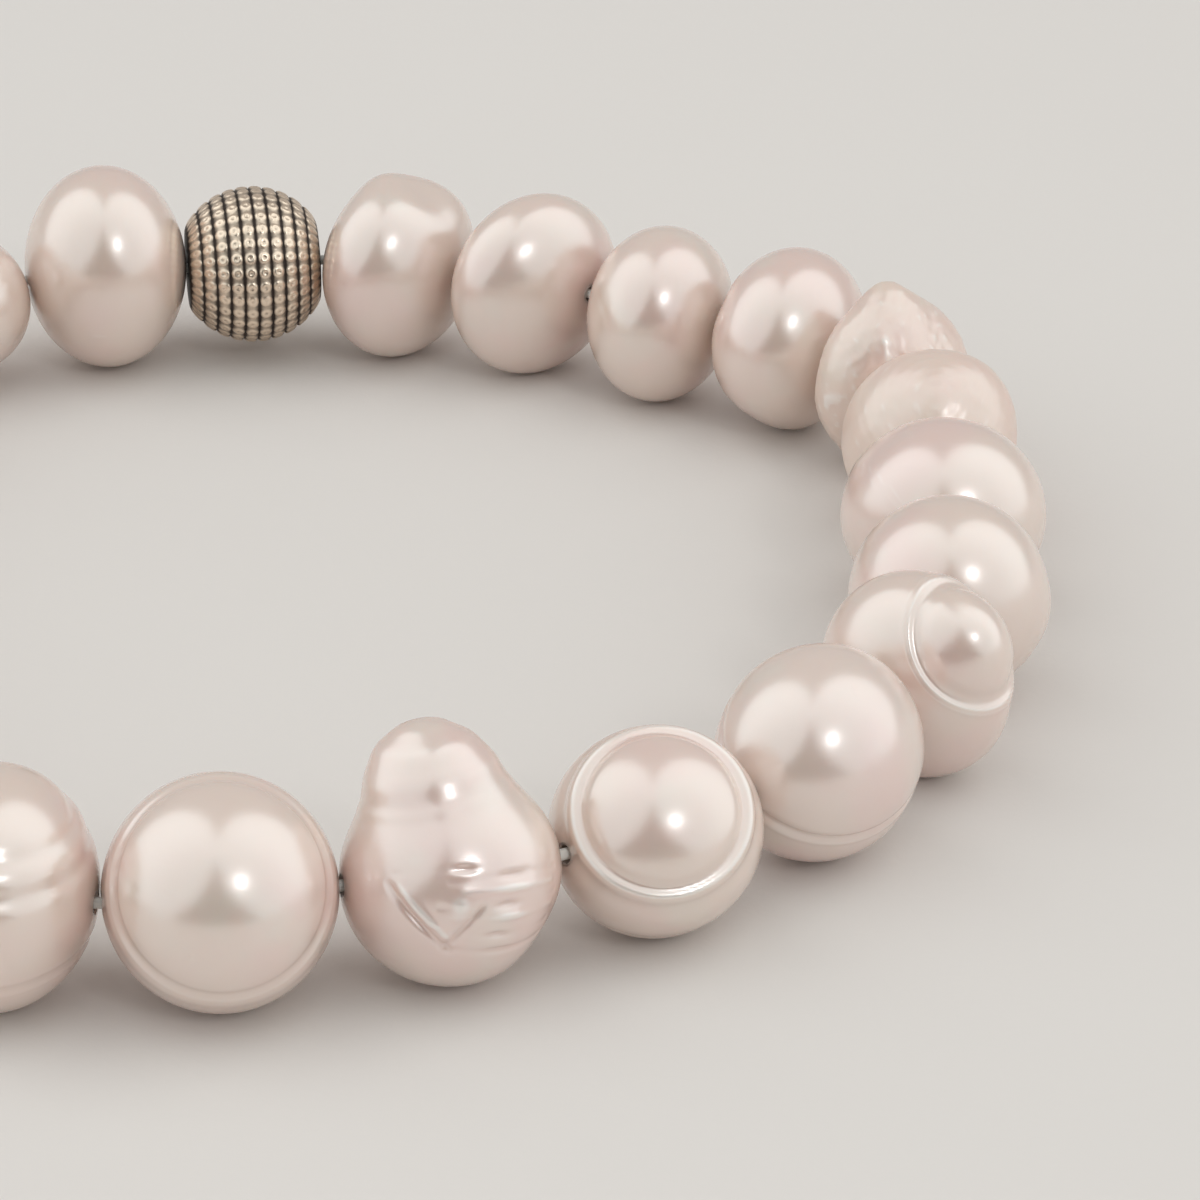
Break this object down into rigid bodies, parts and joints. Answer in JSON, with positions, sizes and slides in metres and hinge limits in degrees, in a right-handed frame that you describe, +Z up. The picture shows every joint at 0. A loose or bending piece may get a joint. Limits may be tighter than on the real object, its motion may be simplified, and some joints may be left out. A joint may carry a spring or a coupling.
{
  "type": "pearl bracelet",
  "caption": "Stretch bracelet of baroque pearls and one granulated silver bead, drilled and threaded on an elastic cord, lying in a ring.",
  "frame": {"origin": "on the surface that the bracelet lies on, under the middle of its footprint", "axes": "+Z up out of the ring, which lies flat; +Y towards the side of the ring with the silver bead; +X to the right, the way that the beads are numbered at the silver bead"},
  "size_m": [0.0718, 0.0728, 0.0112],
  "materials": {
    "pearl": "soft pearl lustre, creamy white with pink and green overtones",
    "oxidised_silver": "bright granules over blackened grooves",
    "elastic": "translucent stretch cord"
  },
  "bodies": {
    "root": {"silver_bead": "oxidised_silver", "pearl_01": "pearl", "pearl_02": "pearl", "pearl_03": "pearl", "pearl_04": "pearl", "pearl_05": "pearl", "pearl_06": "pearl", "pearl_07": "pearl", "pearl_08": "pearl", "pearl_09": "pearl", "pearl_10": "pearl", "pearl_11": "pearl", "pearl_12": "pearl", "pearl_13": "pearl", "pearl_14": "pearl", "pearl_15": "pearl", "pearl_16": "pearl", "pearl_17": "pearl", "pearl_18": "pearl", "pearl_19": "pearl", "pearl_20": "pearl", "pearl_21": "pearl", "pearl_22": "pearl", "pearl_23": "pearl", "elastic_cord": "elastic"}
  },
  "joints": []
}
